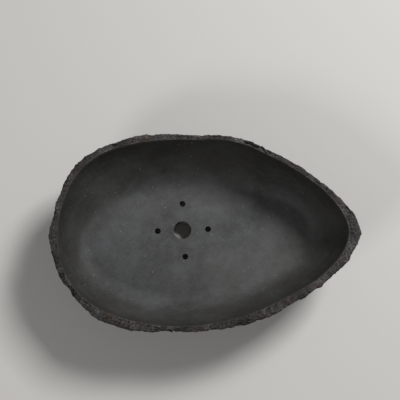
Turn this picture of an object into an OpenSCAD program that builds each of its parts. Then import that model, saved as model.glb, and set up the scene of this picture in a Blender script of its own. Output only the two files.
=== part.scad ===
// Egg-shaped bonsai pot, hand-built in stoneware from slabs, coils and torn strips.
// Axes: +X points to the narrow tip, +Y to the back, +Z up.
// Origin: the middle of the pot's bounding box, on the plane that the feet stand on.

/* [Overall] */
// Height from the feet to the highest point of the rim
pot_height = 75; // [66:1:90]
// Height of the feet under the floor slab
foot_height = 9; // [5:1:12]

/* [Rim outline] */
// Half length of the rim's outer edge
rim_half_length = 148.2; // [120:0.1:160]
// Half width of the rim's outer edge
rim_half_width = 96.2; // [84:0.1:105]
// How much the outer edge narrows towards the tip
rim_taper = 0.21; // [0.05:0.01:0.3]
// Half length of the rim's inner edge
lip_half_length = 138.8; // [112:0.1:148]
// Half width of the rim's inner edge
lip_half_width = 89.7; // [76:0.1:96]
// How much the inner edge narrows towards the tip
lip_taper = 0.19; // [0.05:0.01:0.3]
// How far the inner edge lies towards the blunt end
lip_shift = 2.4; // [0:0.1:4]
// Height of the five soft corners that the hand left round the outer edge
edge_wave = 2; // [0:0.1:3]
// Height of the same soft corners round the inner edge
lip_wave = 1.6; // [0:0.1:3]

/* [Rim strips] */
// Height of the torn strips that stand on the wall
strip_height = 15; // [10:1:20]
// How far each strip's crest drops at its laps
strip_dip = 1.5; // [0:0.1:3]

/* [Floor] */
// Half length of the flat floor
floor_half_length = 115; // [95:1:118]
// Half width of the flat floor
floor_half_width = 60; // [50:1:62]
// How much the floor narrows towards the tip
floor_taper = 0.05; // [0:0.01:0.15]
// How far the floor's middle lies towards the blunt end
floor_shift = 7.6; // [0:0.1:9]
// How far the floor's middle lies towards the front
floor_forward = 1; // [0:0.5:3]
// How far the floor's back edge leans towards the tip
floor_lean = 15; // [0:1:18]
// How much deeper the floor is at the front than at the back
floor_sag = 4; // [0:0.5:6]
// Thickness of the floor slab
slab_thickness = 9; // [8:0.5:12]
// Depth of the ledge that the walls stand on
ledge_depth = 4; // [2:0.5:5]
// Size of the coil in the corner, at the back
coil_size = 6; // [4:0.5:8]
// How much larger the coil is at the front
coil_growth = 5; // [0:0.5:6]

/* [Wall] */
// Thickness of the wall where it stands on the ledge
wall_foot = 10; // [8:0.5:12]
// How early the wall turns steep: 0 is a straight slope, 1 is upright at the rim
wall_bend = 0.7; // [0.4:0.05:0.8]

/* [Holes] */
// Diameter of the drain hole
drain_d = 18; // [12:1:24]
// Diameter of the wire holes
wire_d = 6; // [3:0.5:8]

/* [Feet] */
// Half the angle that a foot spans round the floor
foot_half_span = 15; // [10:1:18]
// Width of a foot, as a share of the way from the floor's middle to its edge
foot_width_share = 0.24; // [0.18:0.01:0.28]
// How far out a foot reaches, as a share of the same way
foot_reach = 0.94; // [0.88:0.01:0.98]
// Depth of the seat that each foot is bedded in
foot_seat = 1.5; // [1:0.5:2]

/* [Hidden] */

// Angle between neighbouring stations round the pot. Laps and joints fall on stations.
station = 3;
// Each rim strip: the angle at which it laps the strip before, how far its outer edge stands
// out at that lap, how much further it swells halfway, and the same two for its inner edge.
strips = [
    [-39, 0, 0, -0.5, -2],
    [33, -1, 0, 0, -1],
    [66, 0, 2.5, 0, 2],
    [93, -1, 1.5, 0, -1],
    [126, 2, 2, 1, 0.5],
    [162, 1, 4, 1.5, 0],
    [210, -0.5, 3, 1, -0.5],
    [255, 0, -1, 0, -0.5],
    [282, 0, -1, -3, -1.5],
    [321, 0, 0, -0.5, -2]
];
// Angles at which one wall slab ends on the next, and the first again.
wall_joints = [-30, 36, 141, 216, 330];
// A bevelled end runs this far round the pot on each side of its joint.
bevel = 3;
// Angle round the floor at which each foot stands, in the order of the foot nodes.
foot_angles = [42, 138, 222, 318];

// The drain hole's place on the floor, from the pot's middle.
drain_at = [-23, 8.5];
// The wire holes' places, from the drain hole. They were punched by eye.
wire_at = [[26, 1], [0, 27], [-25, -1], [3, -27]];
// A cutter runs past the face it cuts by this much.
cut = 1;

floor_top = foot_height + slab_thickness;
ledge_top = floor_top - ledge_depth;
seat_top = pot_height - strip_height;

// An outline is [x of middle, y of middle, half length, half width, taper, lean, sag].
rim_edge = [0, 0, rim_half_length, rim_half_width, rim_taper, 0, 0];
rim_lip = [-lip_shift, 0, lip_half_length, lip_half_width, lip_taper, 0, 0];
floor_middle = [-floor_shift, -floor_forward];
floor_edge = concat(floor_middle,
    [floor_half_length, floor_half_width, floor_taper, floor_lean, floor_sag]);
slab_edge = concat(floor_middle,
    [floor_half_length + wall_foot, floor_half_width + wall_foot, floor_taper, floor_lean,
        floor_sag]);

// Heights of the wall's rings, from the ledge to the strips' seat.
wall_rings = [for (share = [0, 0.09, 0.2, 0.34, 0.5, 0.74, 1]) ledge_top
    + share * (seat_top - ledge_top)];
// A rim strip's section: how far across from the inner face, and how far up.
strip_across = [[0, 0], [0, 0.5], [0.01, 0.86], [0.08, 0.97], [0.3, 1], [0.55, 1],
    [0.8, 0.93], [0.97, 0.74], [1.03, 0.4], [1, 0]];

function mix(a, b, share) = a + (b - a) * share;

// The point of an outline at one angle round the pot.
function egg(outline, angle) = [
    outline[0] + outline[2] * cos(angle) + outline[5] * sin(angle),
    outline[1] + outline[3] * sin(angle) * (1 - outline[4] * cos(angle))
        + outline[6] * cos(2 * angle)
];

// The same angle, counted from the first strip's start to the last strip's end.
function wrap(angle) = angle >= strips[9][0] ? angle - 360
    : angle < strips[0][0] ? angle + 360 : angle;

// The strip that an angle falls on, and how far along it lies: -1 at one lap, 1 at the next.
function strip_at(angle) = max([for (k = [0:8]) if (strips[k][0] <= wrap(angle)) k]);
function along_strip(angle) = let (i = strip_at(angle))
    2 * (wrap(angle) - strips[i][0]) / (strips[i + 1][0] - strips[i][0]) - 1;

// How far a strip's edge stands out; side is 1 for the outer edge and 3 for the inner one.
function stand_out(angle, side) = let (i = strip_at(angle), u = along_strip(angle))
    mix(strips[i][side], strips[i + 1][side], (u + 1) / 2)
        + strips[i][side + 1] * (1 - pow(u, 2));

// The rim's outer edge and inner edge, with the waves that the hand left.
function outer_rim(angle) = egg(rim_edge, angle)
    + (edge_wave * cos(5 * angle) + stand_out(angle, 1)) * [cos(angle), sin(angle)];
function inner_rim(angle) = egg(rim_lip, angle)
    + (lip_wave * cos(5 * angle + 20) + stand_out(angle, 3)) * [cos(angle), sin(angle)];

// Share of the way out from foot to rim at a share of the way up.
function flare(up) = (1 - wall_bend) * up + wall_bend * (1 - pow(1 - up, 2));

function inner_face(angle, z) = mix(egg(floor_edge, angle), inner_rim(angle),
    flare(max(0, (z - floor_top) / (pot_height - floor_top))));
function outer_face(angle, z) = mix(egg(slab_edge, angle), outer_rim(angle),
    flare((z - ledge_top) / (pot_height - ledge_top)));

// The pot is centred on its own bounding box.
rim_points = [for (angle = [0:station:359]) outer_rim(angle)];
middle = [
    (max([for (p = rim_points) p[0]]) + min([for (p = rim_points) p[0]])) / 2,
    (max([for (p = rim_points) p[1]]) + min([for (p = rim_points) p[1]])) / 2
];

// A point of the pot's wall: angle round it, share of the way across it, height.
function wall_point(angle, across, z) = let (p = mix(inner_face(angle, z),
    outer_face(angle, z), across) - middle) [p[0], p[1], z];

// Height of a rim strip at a share of the way up its section.
function strip_z(angle, up) = seat_top
    + up * (strip_height - strip_dip * pow(along_strip(angle), 2));

// Sections of a wall slab and of a rim strip, both cut on the same bevel.
function wall_section(angle) = concat(
    [for (z = wall_rings) wall_point(angle - bevel, 0, z)],
    [for (i = [len(wall_rings) - 1:-1:0]) wall_point(angle + bevel, 1, wall_rings[i])]
);
function strip_section(angle) = [for (s = strip_across)
    wall_point(angle + bevel * (2 * s[0] - 1), s[0], strip_z(angle, s[1]))];

// Section of the coil: down the wall to the corner, in along the floor and back in a curve.
function coil_section(angle) = let (
    size = coil_size + coil_growth * max(0, -sin(angle)),
    corner = wall_point(angle, 0, floor_top),
    high = wall_point(angle, 0, floor_top + size),
    half = wall_point(angle, 0, floor_top + size / 2),
    inward = -[corner[0], corner[1], 0] / norm([corner[0], corner[1]]),
    low = corner + size * inward
) concat([high, half, corner, low],
    [for (s = [0.25, 0.5, 0.75]) pow(1 - s, 2) * low + 2 * s * (1 - s) * corner + pow(s, 2) * high]);

// Joins one section to the next; an open run is closed by a ladder of faces at each end.
module loft(sections, closed = false) {
    n = len(sections[0]);
    m = len(sections);
    runs = closed ? m : m - 1;
    sides = [for (i = [0:runs - 1]) for (k = [0:n - 1])
        let (j = (i + 1) % m, l = (k + 1) % n)
        each [[i * n + k, j * n + k, j * n + l], [i * n + k, j * n + l, i * n + l]]];
    start = [for (k = [0:n / 2 - 2])
        each [[k, k + 1, n - 2 - k], [k, n - 2 - k, n - 1 - k]]];
    end = [for (face = start) [for (v = [2:-1:0]) face[v] + (m - 1) * n]];
    polyhedron([for (s = sections) each s], closed ? sides : concat(sides, start, end));
}

// Outline of the floor slab or of its raised middle.
module slab_outline(outline) {
    translate(-middle)
        polygon([for (angle = [0:station:359]) egg(outline, angle)]);
}

// Raises the size of a sine or cosine and keeps its sign, for a well-rounded bar.
function plump(value) = sign(value) * sqrt(abs(value));

// A bar with round corners that follows the floor's edge, centred on one angle.
module foot_outline(angle) {
    translate(-middle)
        polygon([for (turn = [0:12:359])
            let (p = egg(slab_edge, angle + foot_half_span * plump(cos(turn))))
            mix(floor_middle, p, foot_reach + foot_width_share / 2 * (plump(sin(turn)) - 1))]);
}

module floor_slab() {
    color("#4c4b4a")
        difference() {
            union() {
                translate([0, 0, foot_height])
                    linear_extrude(slab_thickness - ledge_depth) slab_outline(slab_edge);
                translate([0, 0, foot_height])
                    linear_extrude(slab_thickness) slab_outline(floor_edge);
            }
            translate([drain_at[0], drain_at[1], foot_height - cut])
                cylinder(h = slab_thickness + 2 * cut, d = drain_d, $fn = 64);
            for (p = wire_at)
                translate([drain_at[0] + p[0], drain_at[1] + p[1], foot_height - cut])
                    cylinder(h = slab_thickness + 2 * cut, d = wire_d, $fn = 32);
            for (angle = foot_angles)
                translate([0, 0, foot_height - cut])
                    linear_extrude(foot_seat + cut) foot_outline(angle);
        }
}

module corner_coil() {
    color("#484745") loft([for (angle = [0:station:359]) coil_section(angle)], closed = true);
}

// One wall slab, from one joint to the next.
module wall_slab(i) {
    color("#3f3e3c")
        loft([for (angle = [wall_joints[i]:station:wall_joints[i + 1]]) wall_section(angle)]);
}

// One torn strip, from one lap to the next.
module rim_strip(i) {
    color("#4b4844")
        loft([for (angle = [strips[i][0]:station:strips[i + 1][0]]) strip_section(angle)]);
}

module foot(i) {
    color("#3a3937") linear_extrude(foot_height + foot_seat) foot_outline(foot_angles[i]);
}

floor_slab();
corner_coil();
wall_slab(0);  // wall_slab_tip
wall_slab(1);  // wall_slab_back
wall_slab(2);  // wall_slab_blunt
wall_slab(3);  // wall_slab_front
rim_strip(0);  // rim_strip_1
rim_strip(1);  // rim_strip_2
rim_strip(2);  // rim_strip_3
rim_strip(3);  // rim_strip_4
rim_strip(4);  // rim_strip_5
rim_strip(5);  // rim_strip_6
rim_strip(6);  // rim_strip_7
rim_strip(7);  // rim_strip_8
rim_strip(8);  // rim_strip_9
foot(0);  // foot_back_tip
foot(1);  // foot_back_blunt
foot(2);  // foot_front_blunt
foot(3);  // foot_front_tip
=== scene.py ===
"""Egg-shaped hand-built stoneware bonsai pot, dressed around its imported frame.

Metres, +X to the narrow tip, +Y to the back, +Z up. Every piece keeps its place in its mesh.
"""

import logging
import math
from dataclasses import dataclass
from enum import Enum

import bpy
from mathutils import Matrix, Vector
from mathutils.bvhtree import BVHTree


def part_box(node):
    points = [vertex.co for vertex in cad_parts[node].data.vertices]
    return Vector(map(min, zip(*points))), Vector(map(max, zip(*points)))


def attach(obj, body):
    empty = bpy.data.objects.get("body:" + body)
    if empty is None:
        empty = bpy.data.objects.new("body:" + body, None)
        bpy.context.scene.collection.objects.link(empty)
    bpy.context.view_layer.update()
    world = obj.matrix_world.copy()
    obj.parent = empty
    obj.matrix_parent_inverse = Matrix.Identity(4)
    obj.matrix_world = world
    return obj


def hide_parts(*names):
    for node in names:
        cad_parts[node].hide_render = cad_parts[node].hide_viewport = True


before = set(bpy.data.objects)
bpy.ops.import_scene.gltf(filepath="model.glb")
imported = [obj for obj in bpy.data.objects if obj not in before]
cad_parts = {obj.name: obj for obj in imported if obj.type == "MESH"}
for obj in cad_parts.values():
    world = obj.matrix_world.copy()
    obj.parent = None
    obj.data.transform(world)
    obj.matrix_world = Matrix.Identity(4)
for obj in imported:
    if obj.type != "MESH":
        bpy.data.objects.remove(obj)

log = logging.getLogger("bonsai_pot")

MM = 0.001
# Height at which the rim strips sit on the wall.
RIM_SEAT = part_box("wall_slab_back")[1].z
# How often each face of a wall or a strip is halved before its relief is pressed in.
DIVIDE_LEVELS = 3
# The pot's long middle line: its share of the floor slab's length, its two ends, and how far a
# place's own X moves the point that it faces away from.
SPINE_SHARE = 0.45
SPINE_ENDS = tuple(corner.x * SPINE_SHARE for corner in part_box("floor_slab"))
SPINE_FOLLOW = 0.6
# Cosine between a face's normal and outward, below which it is part of the inner face.
INNER_FACE = -0.35
# How steeply the wall's relief leans down from level.
RELIEF_LEAN = -0.3
# The vertex group that holds how far each vertex is torn.
TORN = "torn"


class Texture(Enum):
    """Kinds of relief that a displace modifier presses into clay."""

    CLOUDS = "CLOUDS"
    CELLS = "VORONOI"


def linear(hex_code: str) -> tuple[float, float, float, float]:
    """Turn an sRGB hex colour to linear RGBA.

    Args:
        hex_code: six hex digits after a hash, such as "#4e4e4f".

    Returns:
        Linear red, green, blue and an alpha of 1.
    """
    parts = [int(hex_code[i : i + 2], 16) / 255 for i in (1, 3, 5)]
    red, green, blue = (
        c / 12.92 if c <= 0.04045 else ((c + 0.055) / 1.055) ** 2.4 for c in parts
    )
    return red, green, blue, 1.0


def per_metre(size_mm: float) -> float:
    """Texture scale that gives a feature of one size in millimetres."""
    return 1.0 / (size_mm * MM)


def add_node(
    material: bpy.types.Material, kind: str, settings: dict, inputs: dict
) -> bpy.types.Node:
    """Add one shader node with its settings, values and links.

    Args:
        material: the material that gets the node.
        kind: the node's type name.
        settings: attributes of the node, by name.
        inputs: sockets by name or number; a socket object is linked, anything else is a value.

    Returns:
        The new node.
    """
    tree = material.node_tree
    node = tree.nodes.new(kind)
    for name, value in settings.items():
        setattr(node, name, value)
    for name, value in inputs.items():
        if isinstance(value, bpy.types.NodeSocket):
            tree.links.new(value, node.inputs[name])
        else:
            node.inputs[name].default_value = value
    return node


def new_material(name: str) -> bpy.types.Material:
    """Make an empty node material.

    Args:
        name: the material's name.

    Returns:
        A material with no nodes.
    """
    material = bpy.data.materials.new(name)
    material.use_nodes = True
    material.node_tree.nodes.clear()
    return material


def ramp_stops(node: bpy.types.Node, stops: list[tuple[float, tuple]]) -> None:
    """Set a colour ramp's stops.

    Args:
        node: the colour ramp node.
        stops: position and linear colour of each stop, in order.
    """
    elements = node.color_ramp.elements
    while len(elements) < len(stops):
        elements.new(1.0)
    for element, (position, colour) in zip(elements, stops):
        element.position = position
        element.color = colour


@dataclass(frozen=True)
class SmoothStoneware:
    """Charcoal stoneware, sponged smooth while damp and fired without a glaze.

    The eye gets a dead matt, almost black grey with soft clouds where the sponge went, a fine
    dark grit, and a few pale grains of feldspar that the sponge uncovered. The wall is painted
    darker the higher it goes, a painted shade fitted as a tone, so relighting the pot doesn't
    remove it.
    """

    name: str = "stoneware_sponged"
    light: str = "#656667"
    dark: str = "#464645"
    warm: str = "#544f4b"
    grain: str = "#a3a3a1"
    # Painted shade: the sponged wall is multiplied darker with height, between these two heights.
    painted_shade_low: str = "#d6d4d2"
    painted_shade_high: str = "#aeada7"
    painted_shade_from_mm: float = 19.0
    painted_shade_to_mm: float = 68.0
    cloud_mm: float = 38.0
    warm_mm: float = 60.0
    smear_mm: float = 7.0
    grit_mm: float = 1.6
    grain_spacing_mm: float = 6.5
    grain_radius: float = 0.1
    smear_share: float = 0.45
    grit_share: float = 0.55
    roughness: float = 0.88
    bump_mm: float = 0.25

    def material(self) -> bpy.types.Material:
        """Build the node material.

        Returns:
            The finished material.
        """
        made = new_material(self.name)
        place = add_node(made, "ShaderNodeTexCoord", {}, {}).outputs["Object"]
        cloud = add_node(
            made,
            "ShaderNodeTexNoise",
            {},
            {"Vector": place, "Scale": per_metre(self.cloud_mm), "Detail": 3.0},
        )
        smear = add_node(
            made,
            "ShaderNodeTexNoise",
            {},
            {"Vector": place, "Scale": per_metre(self.smear_mm), "Detail": 4.0},
        )
        grit = add_node(
            made,
            "ShaderNodeTexNoise",
            {},
            {"Vector": place, "Scale": per_metre(self.grit_mm), "Detail": 2.0, "Roughness": 0.7},
        )
        warm = add_node(
            made,
            "ShaderNodeTexNoise",
            {},
            {"Vector": place, "Scale": per_metre(self.warm_mm), "Detail": 1.0},
        )
        blend = add_node(
            made,
            "ShaderNodeMath",
            {"operation": "MULTIPLY_ADD"},
            {0: smear.outputs["Fac"], 1: self.smear_share, 2: cloud.outputs["Fac"]},
        )
        blend = add_node(
            made,
            "ShaderNodeMath",
            {"operation": "MULTIPLY_ADD"},
            {0: grit.outputs["Fac"], 1: self.grit_share, 2: blend.outputs[0]},
        )
        spread = add_node(
            made,
            "ShaderNodeMapRange",
            {},
            {"Value": blend.outputs[0], "From Min": 0.72, "From Max": 1.28},
        )
        tone = add_node(made, "ShaderNodeValToRGB", {}, {"Fac": spread.outputs["Result"]})
        ramp_stops(tone, [(0.0, linear(self.dark)), (1.0, linear(self.light))])
        warm_share = add_node(
            made,
            "ShaderNodeMapRange",
            {},
            {"Value": warm.outputs["Fac"], "From Min": 0.45, "From Max": 0.75, "To Max": 0.3},
        )
        body = add_node(
            made,
            "ShaderNodeMix",
            {"data_type": "RGBA"},
            {
                "Factor": warm_share.outputs["Result"],
                "A": tone.outputs["Color"],
                "B": linear(self.warm),
            },
        )
        # Painted shade: multiply the wall's colour darker with height, from white at the floor's
        # top to the darkest tone near the rim.
        height = add_node(made, "ShaderNodeSeparateXYZ", {}, {"Vector": place})
        climb = add_node(
            made,
            "ShaderNodeMapRange",
            {},
            {
                "Value": height.outputs["Z"],
                "From Min": self.painted_shade_from_mm * MM,
                "From Max": self.painted_shade_to_mm * MM,
            },
        )
        painted_wall_shade = add_node(made, "ShaderNodeValToRGB", {}, {"Fac": climb.outputs["Result"]})
        ramp_stops(
            painted_wall_shade,
            [
                (0.0, (1.0, 1.0, 1.0, 1.0)),
                (0.3, linear(self.painted_shade_low)),
                (1.0, linear(self.painted_shade_high)),
            ],
        )
        body = add_node(
            made,
            "ShaderNodeMix",
            {"data_type": "RGBA", "blend_type": "MULTIPLY"},
            {"Factor": 1.0, "A": body.outputs["Result"], "B": painted_wall_shade.outputs["Color"]},
        )
        grains = add_node(
            made,
            "ShaderNodeTexVoronoi",
            {},
            {"Vector": place, "Scale": per_metre(self.grain_spacing_mm)},
        )
        near = add_node(
            made,
            "ShaderNodeMapRange",
            {},
            {
                "Value": grains.outputs["Distance"],
                "From Min": self.grain_radius,
                "From Max": self.grain_radius * 0.4,
                "To Max": 1.0,
            },
        )
        chosen = add_node(
            made, "ShaderNodeSeparateColor", {}, {"Color": grains.outputs["Color"]}
        )
        few = add_node(
            made,
            "ShaderNodeMapRange",
            {},
            {"Value": chosen.outputs[0], "From Min": 0.3, "From Max": 1.0, "To Max": 1.0},
        )
        speck = add_node(
            made,
            "ShaderNodeMath",
            {"operation": "MULTIPLY"},
            {0: near.outputs["Result"], 1: few.outputs["Result"]},
        )
        colour = add_node(
            made,
            "ShaderNodeMix",
            {"data_type": "RGBA"},
            {
                "Factor": speck.outputs[0],
                "A": body.outputs["Result"],
                "B": linear(self.grain),
            },
        )
        bump = add_node(
            made,
            "ShaderNodeBump",
            {},
            {"Height": blend.outputs[0], "Strength": 0.5, "Distance": self.bump_mm * MM},
        )
        shader = add_node(
            made,
            "ShaderNodeBsdfPrincipled",
            {},
            {
                "Base Color": colour.outputs["Result"],
                "Roughness": self.roughness,
                "IOR": 1.45,
                "Specular IOR Level": 0.3,
                "Normal": bump.outputs["Normal"],
            },
        )
        add_node(
            made, "ShaderNodeOutputMaterial", {}, {"Surface": shader.outputs["BSDF"]}
        )
        return made


@dataclass(frozen=True)
class TornStoneware:
    """The same clay where it was torn by hand: open, gritty and never sponged.

    The eye gets a coarse broken face, dark in the pits and greyer on the ridges, with iron-brown
    streaks where the fire reached the open clay. The dark pits and grey ridges are partly the
    clay's own mottled tone and partly painted shade in the hollows and painted highlight on the
    edges, taken from the mesh's curvature.
    """

    name: str = "stoneware_torn"
    # Tones from ridge to pit: the clay's mottled tone, which also carries the painted shade in
    # hollows and the painted highlight on edges.
    ridge_and_edge_highlight: str = "#6c6966"
    face: str = "#434140"
    pit_and_hollow_shade: str = "#252321"
    iron: str = "#54402f"
    patch_mm: float = 16.0
    patch_share: float = 0.5
    tear_mm: float = 4.0
    grit_mm: float = 1.5
    iron_mm: float = 12.0
    grit_share: float = 0.7
    tear_share: float = 0.25
    # Painted shade in the hollows and painted highlight on the edges, set by the mesh's
    # curvature.
    hollow_shade: float = -0.22
    edge_light: float = 0.09
    roughness: float = 0.95
    bump_mm: float = 0.7

    def material(self) -> bpy.types.Material:
        """Build the node material.

        Returns:
            The finished material.
        """
        made = new_material(self.name)
        place = add_node(made, "ShaderNodeTexCoord", {}, {}).outputs["Object"]
        patch = add_node(
            made,
            "ShaderNodeTexNoise",
            {},
            {"Vector": place, "Scale": per_metre(self.patch_mm), "Detail": 2.0},
        )
        tear = add_node(
            made,
            "ShaderNodeTexNoise",
            {"noise_type": "RIDGED_MULTIFRACTAL"},
            {"Vector": place, "Scale": per_metre(self.tear_mm), "Detail": 4.0},
        )
        grit = add_node(
            made,
            "ShaderNodeTexNoise",
            {},
            {"Vector": place, "Scale": per_metre(self.grit_mm), "Detail": 2.0, "Roughness": 0.7},
        )
        # Painted shade and painted highlight: the curvature darkens the hollows and lightens the
        # edges.
        shape = add_node(made, "ShaderNodeNewGeometry", {}, {})
        edge = add_node(
            made,
            "ShaderNodeMapRange",
            {},
            {
                "Value": shape.outputs["Pointiness"],
                "From Min": 0.44,
                "From Max": 0.56,
                "To Min": self.hollow_shade,
                "To Max": self.edge_light,
            },
        )
        broad = add_node(
            made,
            "ShaderNodeMath",
            {"operation": "MULTIPLY"},
            {0: patch.outputs["Fac"], 1: self.patch_share},
        )
        height = add_node(
            made,
            "ShaderNodeMath",
            {"operation": "MULTIPLY_ADD"},
            {0: grit.outputs["Fac"], 1: self.grit_share, 2: broad.outputs[0]},
        )
        tone_value = add_node(
            made,
            "ShaderNodeMath",
            {"operation": "ADD"},
            {0: height.outputs[0], 1: edge.outputs["Result"]},
        )
        tone = add_node(made, "ShaderNodeValToRGB", {}, {"Fac": tone_value.outputs[0]})
        ramp_stops(
            tone,
            [(0.34, linear(self.pit_and_hollow_shade)), (0.58, linear(self.face)), (0.78, linear(self.ridge_and_edge_highlight))],
        )
        iron = add_node(
            made,
            "ShaderNodeTexNoise",
            {},
            {"Vector": place, "Scale": per_metre(self.iron_mm), "Detail": 5.0},
        )
        iron_share = add_node(
            made,
            "ShaderNodeMapRange",
            {},
            {"Value": iron.outputs["Fac"], "From Min": 0.54, "From Max": 0.72, "To Max": 0.4},
        )
        colour = add_node(
            made,
            "ShaderNodeMix",
            {"data_type": "RGBA"},
            {
                "Factor": iron_share.outputs["Result"],
                "A": tone.outputs["Color"],
                "B": linear(self.iron),
            },
        )
        relief = add_node(
            made,
            "ShaderNodeMath",
            {"operation": "MULTIPLY_ADD"},
            {0: tear.outputs["Fac"], 1: self.tear_share, 2: height.outputs[0]},
        )
        bump = add_node(
            made,
            "ShaderNodeBump",
            {},
            {"Height": relief.outputs[0], "Strength": 0.9, "Distance": self.bump_mm * MM},
        )
        shader = add_node(
            made,
            "ShaderNodeBsdfPrincipled",
            {},
            {
                "Base Color": colour.outputs["Result"],
                "Roughness": self.roughness,
                "IOR": 1.45,
                "Specular IOR Level": 0.25,
                "Normal": bump.outputs["Normal"],
            },
        )
        add_node(
            made, "ShaderNodeOutputMaterial", {}, {"Surface": shader.outputs["BSDF"]}
        )
        return made


def deselect_everything() -> None:
    """Leave no object selected."""
    bpy.ops.object.select_all(action="DESELECT")


def work_on(piece: bpy.types.Object) -> None:
    """Select one piece alone and make it active.

    Args:
        piece: the piece.
    """
    deselect_everything()
    piece.select_set(True)
    bpy.context.view_layer.objects.active = piece


def copy_of_node(node: str, name: str, quads: bool = True) -> bpy.types.Object:
    """Copy a CAD node's mesh to a new piece and merge its loose triangles.

    Args:
        node: the CAD node.
        name: the new piece's name.
        quads: whether its triangles become quads, which a flat face with holes can't.

    Returns:
        The new piece.
    """
    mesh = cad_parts[node].data.copy()
    mesh.name = name
    mesh.materials.clear()
    piece = bpy.data.objects.new(name, mesh)
    bpy.context.scene.collection.objects.link(piece)
    work_on(piece)
    if mesh.has_custom_normals:
        bpy.ops.mesh.customdata_custom_splitnormals_clear()
    bpy.ops.object.mode_set(mode="EDIT")
    bpy.ops.mesh.select_all(action="SELECT")
    bpy.ops.mesh.remove_doubles(threshold=0.01 * MM)
    if quads:
        bpy.ops.mesh.tris_convert_to_quads(
            face_threshold=math.radians(40), shape_threshold=math.radians(60)
        )
    else:
        bpy.ops.mesh.beautify_fill(angle_limit=math.radians(1))
    bpy.ops.object.mode_set(mode="OBJECT")
    return piece


def apply(piece: bpy.types.Object, kind: str, **settings: object) -> None:
    """Add one modifier and apply it.

    Args:
        piece: the piece that it changes.
        kind: the modifier's type.
        settings: the modifier's attributes.
    """
    work_on(piece)
    modifier = piece.modifiers.new(kind.lower(), kind)
    for name, value in settings.items():
        setattr(modifier, name, value)
    bpy.ops.object.modifier_apply(modifier=modifier.name)


def crease_sharp_edges(piece: bpy.types.Object, degrees: float) -> None:
    """Hold every edge sharper than an angle, so that subdivision keeps it.

    Args:
        piece: the piece.
        degrees: the angle between two faces from which their edge is held.
    """
    work_on(piece)
    bpy.ops.object.mode_set(mode="EDIT")
    bpy.ops.mesh.select_mode(type="EDGE")
    bpy.ops.mesh.select_all(action="DESELECT")
    bpy.ops.mesh.edges_select_sharp(sharpness=math.radians(degrees))
    bpy.ops.transform.edge_crease(value=1.0)
    bpy.ops.object.mode_set(mode="OBJECT")


def divide(piece: bpy.types.Object) -> None:
    """Divide every face finely in its own plane, so that it keeps its shape.

    Args:
        piece: the piece.
    """
    apply(
        piece, "SUBSURF", subdivision_type="SIMPLE",
        levels=DIVIDE_LEVELS, render_levels=DIVIDE_LEVELS,
    )


def outward(place: Vector) -> Vector:
    """Level direction from the pot's long middle line to a place.

    Args:
        place: a point of the pot.

    Returns:
        A unit vector with no height.
    """
    spine = max(SPINE_ENDS[0], min(SPINE_ENDS[1], place.x * SPINE_FOLLOW))
    away = Vector((place.x - spine, place.y, 0.0))
    return away.normalized()


def smooth_step(low: float, high: float, value: float) -> float:
    """Ease from 0 at low to 1 at high."""
    t = max(0.0, min(1.0, (value - low) / (high - low)))
    return t * t * (3 - 2 * t)


def away_from_inside(piece: bpy.types.Object, start_mm: float, full_mm: float) -> list[float]:
    """Share from 0 on the face that looks into the pot to 1 on the rest of a piece.

    Args:
        piece: the piece.
        start_mm: distance from the inner face at which the share starts to grow.
        full_mm: distance from the inner face at which it is 1.

    Returns:
        One share for each vertex.
    """
    mesh = piece.data
    inner = [
        list(face.vertices)
        for face in mesh.polygons
        if face.normal.dot(outward(face.center)) < INNER_FACE
    ]
    tree = BVHTree.FromPolygons([vertex.co for vertex in mesh.vertices], inner)
    return [
        smooth_step(start_mm * MM, full_mm * MM, tree.find_nearest(vertex.co)[3])
        for vertex in mesh.vertices
    ]


def aim_relief(piece: bpy.types.Object) -> None:
    """Aim each vertex's relief, level and outward below the rim and along its normal above.

    The direction depends on the place alone below the rim, so neighbouring pieces share it there.

    Args:
        piece: the piece.
    """
    mesh = piece.data
    aims = []
    for vertex in mesh.vertices:
        level = outward(vertex.co) + Vector((0.0, 0.0, RELIEF_LEAN))
        share = smooth_step(RIM_SEAT + 1.0 * MM, RIM_SEAT + 5.0 * MM, vertex.co.z)
        aims.append(level.normalized().lerp(vertex.normal, share).normalized())
    mesh.normals_split_custom_set_from_vertices(aims)


def mark_torn(piece: bpy.types.Object, shares: list[float]) -> None:
    """Keep how far each vertex is torn, as a vertex group.

    Args:
        piece: the piece.
        shares: one share for each vertex, from 0 for untouched to 1 for fully torn.
    """
    group = piece.vertex_groups.new(name=TORN)
    for index, share in enumerate(shares):
        if share > 0.001:
            group.add([index], share, "REPLACE")


def press(
    piece: bpy.types.Object, kind: Texture, size_mm: float, depth_mm: float, **settings: object
) -> None:
    """Press one relief into a piece's torn faces along its normals.

    Args:
        piece: the piece.
        kind: the kind of relief.
        size_mm: size of its features.
        depth_mm: height from its lowest to its highest point.
        settings: attributes of the texture.
    """
    made = bpy.data.textures.new(f"{kind.name.lower()}_{size_mm:g}mm", kind.value)
    made.noise_scale = size_mm * MM
    for name, value in settings.items():
        setattr(made, name, value)
    apply(
        piece,
        "DISPLACE",
        texture=made,
        texture_coords="LOCAL",
        direction="CUSTOM_NORMAL",
        mid_level=0.55,
        strength=depth_mm * MM,
        vertex_group=TORN,
    )
    bpy.data.textures.remove(made)


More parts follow.
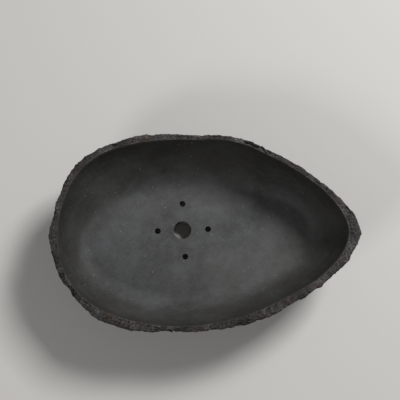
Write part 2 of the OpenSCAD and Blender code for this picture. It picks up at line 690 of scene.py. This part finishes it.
def tear(piece: bpy.types.Object) -> None:
    """Tear the marked faces of a piece as a hand tears leather-hard clay.

    Lumps first, then the ridges and hollows of the tear, then small pits and grit.

    Args:
        piece: the piece, already finely divided and marked.
    """
    aim_relief(piece)
    press(piece, Texture.CLOUDS, size_mm=15.0, depth_mm=4.0, noise_depth=1)
    press(
        piece, Texture.CLOUDS, size_mm=7.0, depth_mm=1.7, noise_depth=2, noise_type="HARD_NOISE"
    )
    press(piece, Texture.CELLS, size_mm=3.0, depth_mm=0.8)
    press(piece, Texture.CLOUDS, size_mm=1.5, depth_mm=0.6, noise_depth=2)
    work_on(piece)
    bpy.ops.mesh.customdata_custom_splitnormals_clear()


def shade(piece: bpy.types.Object, degrees: float) -> None:
    """Shade a piece smooth except at edges sharper than an angle."""
    work_on(piece)
    bpy.ops.object.shade_smooth_by_angle(angle=math.radians(degrees))


def hand_over(
    piece: bpy.types.Object, nodes: list[str], materials: list[bpy.types.Material]
) -> None:
    """Dress a finished piece and put it in its nodes' place.

    Args:
        piece: the piece.
        nodes: the CAD nodes that it stands for.
        materials: its materials, in slot order.
    """
    for material in materials:
        piece.data.materials.append(material)
    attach(piece, "root")
    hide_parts(*nodes)
    log.info("%s: %d faces", piece.name, len(piece.data.polygons))


@dataclass
class RimStrip:
    """One torn strip of clay, bedded on the wall and lapped on its neighbour."""

    number: int
    torn: bpy.types.Material
    smooth: bpy.types.Material
    smooth_to_mm: float = 0.2
    torn_from_mm: float = 2.2
    soft_edge: float = 24.0
    sponged_face: float = -0.72

    def build(self) -> bpy.types.Object:
        """Model and dress the strip.

        Returns:
            The finished piece.
        """
        node = f"rim_strip_{self.number}"
        piece = copy_of_node(node, f"torn_rim_strip_{self.number}")
        divide(piece)
        mark_torn(piece, away_from_inside(piece, self.smooth_to_mm, self.torn_from_mm))
        tear(piece)
        shade(piece, self.soft_edge)
        hand_over(piece, [node], [self.torn, self.smooth])
        self.sponge_inner_face(piece)
        return piece

    def sponge_inner_face(self, piece: bpy.types.Object) -> None:
        """Give the faces that look into the pot the sponged finish.

        Args:
            piece: the strip's piece.
        """
        for face in piece.data.polygons:
            inward = face.normal.dot(outward(face.center)) < self.sponged_face
            face.material_index = 1 if inward else 0


@dataclass
class WallSlab:
    """One slab of the wall: sponged inside, torn outside."""

    side: str
    torn: bpy.types.Material
    smooth: bpy.types.Material
    smooth_to_mm: float = 2.5
    torn_from_mm: float = 5.5
    soft_edge: float = 26.0

    def build(self) -> bpy.types.Object:
        """Model and dress the slab.

        Returns:
            The finished piece.
        """
        node = f"wall_slab_{self.side}"
        piece = copy_of_node(node, f"stone_faced_wall_{self.side}")
        divide(piece)
        mark_torn(piece, away_from_inside(piece, self.smooth_to_mm, self.torn_from_mm))
        tear(piece)
        shade(piece, self.soft_edge)
        hand_over(piece, [node], [self.smooth, self.torn])
        self.face_with_stone(piece)
        return piece

    @staticmethod
    def face_with_stone(piece: bpy.types.Object) -> None:
        """Give the faces that look outward the torn finish.

        Args:
            piece: the slab's piece.
        """
        for face in piece.data.polygons:
            out = face.normal.dot(outward(face.center)) > 0.0
            face.material_index = 1 if out else 0


@dataclass
class Floor:
    """The floor slab with its punched holes, and the coil in its corner."""

    torn: bpy.types.Material
    rubbed: bpy.types.Material
    smooth: bpy.types.Material
    ledge_top_mm: float = 14.0
    slab_soft_edge: float = 12.0
    coil_soft_edge: float = 60.0
    coil_levels: int = 2
    edge_cuts: int = 5
    edge_band: float = 0.72
    edge_face: float = 0.6

    def build(self) -> None:
        """Model and dress the slab and the coil."""
        slab = copy_of_node("floor_slab", "punched_floor_slab", quads=False)
        self.tear_edge(slab)
        shade(slab, self.slab_soft_edge)
        hand_over(slab, ["floor_slab"], [self.smooth, self.torn, self.rubbed])
        for face in slab.data.polygons:
            inside = face.center.z > self.ledge_top_mm * MM
            face.material_index = 2 if face.normal.z < -0.5 else 0 if inside else 1
        coil = copy_of_node("corner_coil", "smoothed_corner_coil")
        crease_sharp_edges(coil, self.coil_soft_edge)
        apply(coil, "SUBSURF", levels=self.coil_levels, render_levels=self.coil_levels)
        shade(coil, self.coil_soft_edge)
        hand_over(coil, ["corner_coil"], [self.smooth])

    def tear_edge(self, slab: bpy.types.Object) -> None:
        """Tear the slab's outer edge, which continues the wall's stony face.

        Args:
            slab: the floor slab's piece.
        """
        work_on(slab)
        bpy.ops.object.mode_set(mode="EDIT")
        bpy.ops.mesh.select_mode(type="FACE")
        bpy.ops.mesh.select_all(action="DESELECT")
        bpy.ops.object.mode_set(mode="OBJECT")
        low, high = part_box("floor_slab")
        middle, half = (low + high) / 2, (high - low) / 2
        for face in slab.data.polygons:
            place = face.center - middle
            rim = (place.x / half.x) ** 2 + (place.y / half.y) ** 2 > self.edge_band
            side = abs(face.normal.z) < 0.1 and face.center.z < self.ledge_top_mm * MM
            turned = face.normal.dot(outward(face.center)) > self.edge_face
            face.select = rim and side and turned
        bpy.ops.object.mode_set(mode="EDIT")
        bpy.ops.mesh.subdivide(number_cuts=self.edge_cuts)
        bpy.ops.object.mode_set(mode="OBJECT")
        shares = [0.0] * len(slab.data.vertices)
        for face in slab.data.polygons:
            if face.select:
                for index in face.vertices:
                    shares[index] = 1.0
        mark_torn(slab, shares)
        tear(slab)


@dataclass
class Foot:
    """One foot, cut from a bar and rubbed flat underneath."""

    side: str
    rubbed: bpy.types.Material
    worn_edge_mm: float = 0.8
    bevel_from: float = 60.0
    soft_edge: float = 40.0

    def build(self) -> bpy.types.Object:
        """Model and dress the foot.

        Returns:
            The finished piece.
        """
        node = f"foot_{self.side}"
        piece = copy_of_node(node, f"rubbed_foot_{self.side}")
        apply(
            piece, "BEVEL", width=self.worn_edge_mm * MM, segments=2,
            limit_method="ANGLE", angle_limit=math.radians(self.bevel_from),
        )
        shade(piece, self.soft_edge)
        hand_over(piece, [node], [self.rubbed])
        return piece


@dataclass
class Studio:
    """Pale floor, soft light, and a camera that looks almost straight into the pot."""

    place_mm: tuple[float, float, float] = (-5.2, -127.8, 966.6)
    elevation: float = 80.0
    lens: float = 85.0

    def build(self) -> None:
        """Set up the floor, the lights and the camera."""
        self.camera()
        self.floor()
        self.lights()

    def camera(self) -> None:
        """Place the camera above the front edge, looking down into the pot."""
        data = bpy.data.cameras.new("camera")
        data.lens = self.lens
        data.sensor_width = 36.0
        camera = bpy.data.objects.new("camera", data)
        bpy.context.scene.collection.objects.link(camera)
        tilt = math.radians(90.0 - self.elevation)
        camera.location = Vector(self.place_mm) * MM
        camera.rotation_euler = (tilt, 0.0, 0.0)
        bpy.context.scene.camera = camera

    def floor(self) -> None:
        """Lay a pale floor under the feet."""
        deselect_everything()
        bpy.ops.mesh.primitive_plane_add(size=12.0, location=(0.0, 0.0, 0.0))
        plane = bpy.context.active_object
        plane.name = "studio_floor"
        paper = new_material("studio_paper")
        shader = add_node(
            paper,
            "ShaderNodeBsdfPrincipled",
            {},
            {"Base Color": linear("#dcdad6"), "Roughness": 0.9},
        )
        add_node(
            paper, "ShaderNodeOutputMaterial", {}, {"Surface": shader.outputs["BSDF"]}
        )
        plane.data.materials.append(paper)

    def lights(self) -> None:
        """Hang a softbox at the back right, a weaker one at the front left, and a weak sky."""
        self.softbox("key", Vector((0.9, 0.9, 1.4)), size=0.55, power=27.0)
        self.softbox("fill", Vector((-1.05, -1.1, 1.2)), size=0.5, power=8.0)
        world = bpy.data.worlds.new("studio")
        world.use_nodes = True
        background = world.node_tree.nodes["Background"]
        background.inputs["Color"].default_value = (1.0, 1.0, 1.0, 1.0)
        background.inputs["Strength"].default_value = 0.1
        bpy.context.scene.world = world
        bpy.context.scene.view_settings.view_transform = "Standard"

    @staticmethod
    def softbox(name: str, place: Vector, size: float, power: float) -> None:
        """Hang a square softbox that faces the pot.

        Args:
            name: the light's name.
            place: where it hangs.
            size: its side.
            power: its power in watts.
        """
        data = bpy.data.lights.new(name, "AREA")
        data.size = size
        data.energy = power
        lamp = bpy.data.objects.new(name, data)
        lamp.location = place
        lamp.rotation_euler = place.to_track_quat("Z", "Y").to_euler()
        bpy.context.scene.collection.objects.link(lamp)


def main() -> None:
    """Build the pot piece by piece."""
    logging.basicConfig(level=logging.INFO, format="%(message)s")
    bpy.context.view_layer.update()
    smooth = SmoothStoneware().material()
    torn = TornStoneware().material()
    rubbed = TornStoneware(
        name="stoneware_rubbed", face="#4a4846", pit_and_hollow_shade="#353331", patch_mm=30.0, bump_mm=0.25
    ).material()
    Studio().build()
    Floor(torn, rubbed, smooth).build()
    for side in ("tip", "back", "blunt", "front"):
        WallSlab(side, torn, smooth).build()
    for number in range(1, 10):
        RimStrip(number, torn, smooth).build()
    for side in ("back_tip", "back_blunt", "front_blunt", "front_tip"):
        Foot(side, rubbed).build()


if __name__ == "__main__":
    main()
